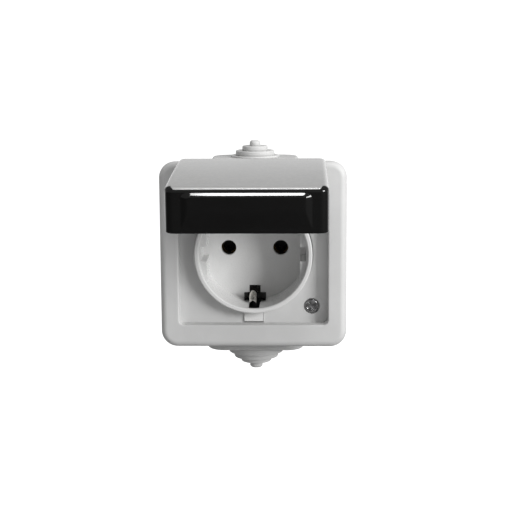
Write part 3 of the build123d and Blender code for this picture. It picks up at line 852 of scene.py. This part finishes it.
@dataclass
class EarthStrip:
    """The earth bar with its side tongue and its two sprung clips, bowed across and split at their ends."""

    back: float = 16.0
    thick: float = 0.8
    width: float = 5.0
    reach: float = 18.2
    tongue_reach: float = 16.2
    tongue_width: float = 4.2
    tongue_z: float = -12.4
    foot: float = 17.6
    bend: float = 24.6
    bulge: float = 15.0
    bulge_height: float = 28.4
    flare: float = 18.5
    flare_height: float = 32.6
    flare_slope: float = 1.3
    clip_width: float = 2.4
    clip_end_width: float = 2.5
    clip_thick: float = 0.7
    clip_shift: float = -0.55
    bow: float = 1.2
    clip_drop: float = 1.6
    flatten: float = 0.75
    notch: float = 0.035
    notch_power: int = 6
    rows: int = 90
    across: int = 21

    def path(self, height: Array) -> Array:
        """Gives the distance of a clip from the centre line at heights above the wall.

        It is the foot up to the bend, a smooth step on to the bulge and one on to the
        flare, plus (t^3 - t^2) flare_slope times the last step's height, which leaves
        the bulge level and gives the flare its slope.

        Args:
            height: heights above the wall.

        Returns:
            Distances from the centre line.
        """
        first, second = self.shares(height)
        spread = smooth_step(second) * (self.flare - self.bulge)
        spread += (second**3 - second**2) * self.flare_slope * (self.flare_height - self.bulge_height)
        return self.foot + smooth_step(first) * (self.bulge - self.foot) + spread

    def shares(self, height: Array) -> tuple[Array, Array]:
        """Gives how far heights lie from the bend to the bulge, and from there to the flare, as 0 to 1."""
        first = (height - self.bend) / (self.bulge_height - self.bend)
        second = (height - self.bulge_height) / (self.flare_height - self.bulge_height)
        return np.clip(first, 0.0, 1.0), np.clip(second, 0.0, 1.0)

    def clip(self, side: float) -> Shape:
        """Gives one clip as a closed band: a front skin and a back skin that meet at the edges.

        With u the place across, from -1 to 1, the band stands further out by
        (clip_drop - bow (1 - u^2)) from the bulge on, less flatten of that at the
        end, where the middle is cut back by notch (1 - |u|) of the length.

        Args:
            side: -1 for the lower clip, 1 for the upper one.

        Returns:
            Points and faces.
        """
        share = np.linspace(0.0, 1.0, self.rows)[:, None]
        one_way = np.linspace(-1, 1, self.across)
        across = np.concatenate([one_way, one_way[::-1]])[None, :]
        skin = np.repeat([-0.5, 0.5], self.across)[None, :]
        start = self.back + self.thick / 2
        full = self.flare_height - start
        cut = self.notch * (1 - np.abs(across)) * share**self.notch_power
        height = start + share * full * (1 - cut)
        raised, spread = self.shares(height)
        half = (self.clip_width + (self.clip_end_width - self.clip_width) * raised) / 2
        ends = np.where((share == 0.0) | (share == 1.0), 0.0, 1.0)
        drop = (self.clip_drop - self.bow * (1 - across**2)) * raised * (1 - self.flatten * spread)
        reach = self.path(height) + drop + skin * self.clip_thick * ends
        points = np.stack([half * across + self.clip_shift, -height, side * reach], axis=-1)
        return points.reshape(-1, 3), grid_faces(self.rows, 2 * self.across)

    def build(self, finish: Material) -> None:
        """Builds the bar, the tongue and both clips as one piece.

        Args:
            finish: the plated metal.
        """
        level = -(self.back + self.thick / 2)
        bar = soft_slab((0.0, level, 0.0), (self.width, self.thick, 2 * self.reach), along=2)
        middle = (self.tongue_reach / 2, level, self.tongue_z)
        tongue = soft_slab(middle, (self.tongue_reach, self.thick, self.tongue_width), along=0)
        points, faces = join_shapes([bar, tongue, self.clip(-1.0), self.clip(1.0)])
        piece = make_piece("earth_strip_bowed", points, faces, finish)
        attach(piece, Body.HOUSING.value)
        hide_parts("earth_strip")


@dataclass
class SealRing:
    """The soft ring inside the lid that closes on the rim of the well."""

    radius: float = 19.65
    half: float = 1.25
    rib_half: float = 0.75
    rib_end: float = -1.4
    front: float = -2.7
    root: float = 0.6
    lip_tall: float = 0.5
    lip_slope: float = 0.3
    lip_inset: float = 0.4
    lip_half: float = 0.3
    edge: float = 0.25
    edge_steps: int = 4
    segments: int = 128

    def build(self, finish: Material) -> None:
        """Turns the lip section, a rounded U that grips the lid's rib, square to the lid's face.

        Args:
            finish: the rubber.
        """
        lip = [(self.rib_half, self.root), (self.half, self.root), (self.half, self.front + self.lip_tall)]
        lip += [(self.half - self.lip_inset, self.front + self.lip_slope), (self.lip_half, self.front)]
        lip += [(-across, height) for across, height in reversed(lip)]
        lip += [(-self.rib_half, self.rib_end), (self.rib_half, self.rib_end), lip[0]]
        middle, _, outward = HINGE.along_lid(HINGE.z)
        section = round_corners(np.array(lip) + np.array([self.radius, 0.0]), self.edge, self.edge_steps)
        points, faces = TurningAxis(tuple(middle), tuple(outward)).sweep(section, self.segments)
        piece = make_piece("lid_seal_lip", points, faces, finish)
        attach(piece, Body.LID.value)
        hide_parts("lid_seal")


@dataclass
class CrossScrews:
    """A set of like screws with a cross recess and a thread, which face the room.

    Seat and end are heights above the wall, the seat under the head.
    """

    node: str
    places: tuple[tuple[float, float], ...]
    seat: float
    end: float
    head_radius: float
    head_thick: float
    shank_radius: float
    pitch: float = 0.8
    thread: float = 0.28
    neck: float = 0.2
    point: float = 0.4
    tip: float = 0.6
    crown: float = 0.3
    rim_round: float = 0.3
    rim_drop: float = 0.05
    arm: float = 0.46
    reach: float = 0.74
    soft: float = 0.12
    depth: float = 1.0
    deepest: float = 0.62
    floor_rise: float = 0.45
    rest_turn: float = 0.5
    step_turn: float = 0.4
    crown_rows: int = 34
    pitch_rows: int = 8
    segments: int = 96

    def recess(self, x: Array, y: Array) -> Array:
        """Gives the depth of the cross recess at points of the head.

        Each arm is 1 within its half width and length and falls to 0 over soft mm.
        The larger of the two arms counts, and the floor rises outwards.

        Args:
            x: distance across one arm.
            y: distance across the other.

        Returns:
            Depth below the crown.
        """
        long = self.reach * self.head_radius
        across, out = ((self.arm, x), (long, y)), ((self.arm, y), (long, x))
        first, second = (
            np.prod([np.clip((limit - np.abs(place)) / self.soft + 0.5, 0, 1) for limit, place in arm], axis=0)
            for arm in (across, out)
        )
        slope = 1.0 - self.floor_rise * np.clip(np.hypot(x, y) / long, 0, 1)
        return np.minimum(self.depth, self.deepest * self.head_thick) * np.maximum(first, second) * slope

    def build(self, finish: Material) -> None:
        """Builds the set as one mesh on the grid of rows along the profile and columns round the axis.

        The profile runs over the crown, round the rim, under the head and down the
        shank, whose radius is less than full by thread * pitch * |2 f - 1|, with f the
        fraction that is left of height / pitch - angle / full turn.

        Args:
            finish: the metal.
        """
        top = self.seat + self.head_thick
        edge, neck = top - self.crown, self.seat - self.neck
        crown_r = np.linspace(0.0, self.head_radius - self.rim_round, self.crown_rows)
        corners = [(crown_r[-1], edge), (self.head_radius, edge - self.rim_drop)]
        corners += [(self.head_radius, self.seat), (self.shank_radius, self.seat), (self.shank_radius, neck)]
        rim = round_corners(np.array(corners), self.rim_round)
        turns_down = np.arange(neck, self.end + self.point, -self.pitch / self.pitch_rows)[1:]
        shank = np.full(len(turns_down), self.shank_radius)
        radius = np.concatenate([crown_r, rim[1:, 0], shank, [self.shank_radius * self.tip, 0.0]])
        crown = top - self.crown * (crown_r / self.head_radius) ** 2
        height = np.concatenate([crown, rim[1:, 1], turns_down, [self.end, self.end]])
        angle = np.linspace(0.0, 2 * math.pi, self.segments, endpoint=False)
        turns, rows = np.meshgrid(angle, np.arange(len(radius)))
        radii, heights = radius[rows], height[rows]
        x, y = radii * np.cos(turns), radii * np.sin(turns)
        heights = np.where(rows < len(crown_r), heights - self.recess(x, y), heights)
        threaded = (rows >= len(crown_r) + len(rim) - 1) & (rows < len(radius) - 2)
        saw = np.abs(((heights / self.pitch - turns / (2 * math.pi)) % 1.0) * 2 - 1)
        radii = np.where(threaded, self.shank_radius - self.thread * self.pitch * saw, radii)
        screws = []
        for count, (place_x, place_z) in enumerate(self.places):
            axis = TurningAxis((place_x, 0.0, place_z), (0.0, -1.0, 0.0))
            screw = axis.turn(radii, heights, turns + self.rest_turn + self.step_turn * count)
            screws.append((screw, grid_faces(len(radius), self.segments)))
        points, faces = join_shapes(screws)
        piece = make_piece(self.node + "_threaded", points, faces, finish)
        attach(piece, Body.HOUSING.value)
        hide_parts(self.node)


# ---- studio


@dataclass
class Studio:
    """Pale floor that sweeps up behind, soft lights and the camera, in metres."""

    target: Point = (0.0007, -0.042, 0.0002)
    azimuth_deg: float = 2.05
    elevation_deg: float = 9.38
    distance: float = 0.4463
    lens: float = 89.65
    sensor: float = 36.0
    floor_z: float = -0.075
    floor_half: float = 1.6
    floor_front: float = -1.4
    sweep_start: float = 0.35
    sweep_radius: float = 0.45
    wall_top: float = 1.6
    floor_glow: float = 0.85
    backdrop_glow: float = 1.0
    surround: float = 0.28
    roll_deg: float = -0.37
    main_place: Point = (0.905, -0.707, 0.35)
    main_size: float = 0.45
    main_watts: float = 13.0
    strip_place: Point = (0.07, -0.4, 0.95)
    strip_size: tuple[float, float] = (0.34, 0.125)
    strip_watts: float = 4.1
    glow_start: float = 0.05
    glow_low: float = 0.07
    glow_high: float = 0.5
    glow_least: float = 0.1
    paper: Colour = (0.48, 0.48, 0.48)
    paper_shade: Colour = (0.45, 0.45, 0.45)
    paper_mirrored: Colour = (0.1, 0.1, 0.1)
    paper_rough: float = 0.9
    paper_specular: float = 0.1
    cloud_scale: float = 3.0

    def floor(self) -> None:
        """Builds the sweep: a flat floor, a quarter circle and a wall, the same across its width.

        Seen by the camera the paper glows evenly. In mirrored rays it is dark, but
        behind the object it glows, less and less with height.
        """
        turn = np.linspace(0.0, math.pi / 2, 24)
        curve = self.sweep_start + self.sweep_radius * np.sin(turn)
        depth = np.concatenate([[self.floor_front], curve, curve[-1:]])
        rise = np.concatenate([[0.0], self.sweep_radius * (1 - np.cos(turn)), [self.wall_top]]) + self.floor_z
        x, row = np.meshgrid(np.array([-self.floor_half, self.floor_half]), np.arange(len(depth)))
        points = np.stack([x, depth[row], rise[row]], axis=-1).reshape(-1, 3)
        mesh = bpy.data.meshes.new("floor_sweep")
        mesh.from_pydata(points.tolist(), [], grid_faces(len(depth), 2, columns_meet=False).tolist())
        mesh.polygons.foreach_set("use_smooth", np.ones(len(mesh.polygons), dtype=bool))
        paper, board, surface, place = start_finish("floor_paper")
        cloud = effect(board, Effect.CLOUD, place, self.cloud_scale)["Mask"]
        rays = board.add("LightPath").outputs
        sheet = board.tint(cloud, self.paper, self.paper_shade)
        colour = board.tint(rays["Is Glossy Ray"], sheet, self.paper_mirrored)
        split = board.add("SeparateXYZ", {0: place})
        behind = board.remap(split.outputs["Y"], self.glow_start, self.sweep_start, 0.0, self.backdrop_glow)
        falling = board.remap(split.outputs["Z"], self.glow_low, self.glow_high, 1.0, self.glow_least)
        mirrored = board.math("MULTIPLY", rays["Is Glossy Ray"], board.math("MULTIPLY", behind, falling))
        seen = board.math("MULTIPLY", rays["Is Camera Ray"], self.floor_glow)
        board.feed(surface, {"Base Color": colour, "Roughness": self.paper_rough})
        board.feed(surface, {"Specular IOR Level": self.paper_specular, "Emission Color": (1.0, 1.0, 1.0)})
        board.feed(surface, {"Emission Strength": board.math("ADD", seen, mirrored)})
        mesh.materials.append(paper)
        sweep = show("floor_sweep", mesh)

    def soft_light(self, name: str, place: Point, size: tuple[float, float], watts: float) -> None:
        """Adds a rectangular area light that faces the object.

        Args:
            name: name of the light.
            place: where it stands, in metres.
            size: its two sides, in metres.
            watts: its power.
        """
        data = bpy.data.lights.new(name, "AREA")
        data.shape = "RECTANGLE"
        data.size, data.size_y = size
        data.energy = watts
        light = show(name, data)
        light.location = place
        light.rotation_euler = (Vector(self.target) - Vector(place)).to_track_quat("-Z", "Y").to_euler()

    def lights(self) -> None:
        """Adds the main light from the right, the strip overhead and the pale surround."""
        self.soft_light("main_softbox", self.main_place, (self.main_size, self.main_size), self.main_watts)
        self.soft_light("top_strip", self.strip_place, self.strip_size, self.strip_watts)
        world = bpy.data.worlds.new("pale_surround")
        bpy.context.scene.world = world
        world.use_nodes = True
        board = NodeBoard(world.node_tree)
        shade = world.node_tree.nodes["Background"]
        seen = board.add("LightPath").outputs["Is Camera Ray"]
        strength = board.remap(seen, 0.0, 1.0, self.surround, 1.0)
        board.feed(shade, {"Color": (1.0, 1.0, 1.0), "Strength": strength})
        bpy.context.scene.view_settings.view_transform = "Standard"

    def camera(self) -> None:
        """Places the camera on the line that the view angles give, at its distance from the target."""
        azimuth, rise = math.radians(self.azimuth_deg), math.radians(self.elevation_deg)
        level = math.cos(rise)
        look = Vector((-math.sin(azimuth) * level, math.cos(azimuth) * level, -math.sin(rise)))
        data = bpy.data.cameras.new("front_camera")
        data.sensor_width = self.sensor
        data.lens = self.lens
        data.clip_start, data.clip_end = 0.01, 20.0
        camera = show("front_camera", data)
        camera.location = Vector(self.target) - self.distance * look
        roll = Quaternion((0.0, 0.0, 1.0), math.radians(self.roll_deg))
        camera.rotation_euler = (look.to_track_quat("-Z", "Y") @ roll).to_euler()
        bpy.context.scene.camera = camera


def main() -> None:
    """Builds and dresses every sub-assembly in order, then the studio."""
    logging.basicConfig(level=logging.INFO, format="%(name)s %(message)s")
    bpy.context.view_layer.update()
    made = {finish.name: finish.make() for finish in FINISHES}
    StandingNodes().dress(made)
    rubber = made[GLAND_RUBBER.name]
    SteppedGland("bottom_gland", -38.3, (10.2, 8.25, 5.65, 2.35), (-40.7, -42.7, -44.5, -47.0)).build(rubber)
    SteppedGland("top_gland", 32.5, (8.95, 7.1, 4.7, 1.95), (33.2, 34.9, 36.6, 38.5)).build(rubber)
    EarthStrip().build(made[NICKEL.name])
    SealRing().build(made[SEAL_RUBBER.name])
    EndPiece().build(made[LID_BLACK.name])
    clamps = ((-9.9, 12.4), (9.9, 12.4), (9.9, -12.4))
    for screws in (
        CrossScrews("cover_screws", ((20.7, -19.0), (-20.7, 19.0)), 35.8, 25.0, 2.3, 1.7, 1.45),
        CrossScrews("carrier_screws", ((-16.5, 0.0), (16.5, 0.0)), 17.6, 1.3, 2.5, 2.3, 1.4),
        CrossScrews("terminal_screws", clamps, 19.7, 16.8, 2.3, 1.2, 1.5, 0.6),
    ):
        screws.build(made[ZINC_STEEL.name])
    studio = Studio()
    studio.floor()
    studio.lights()
    studio.camera()


if __name__ == "__main__":
    main()
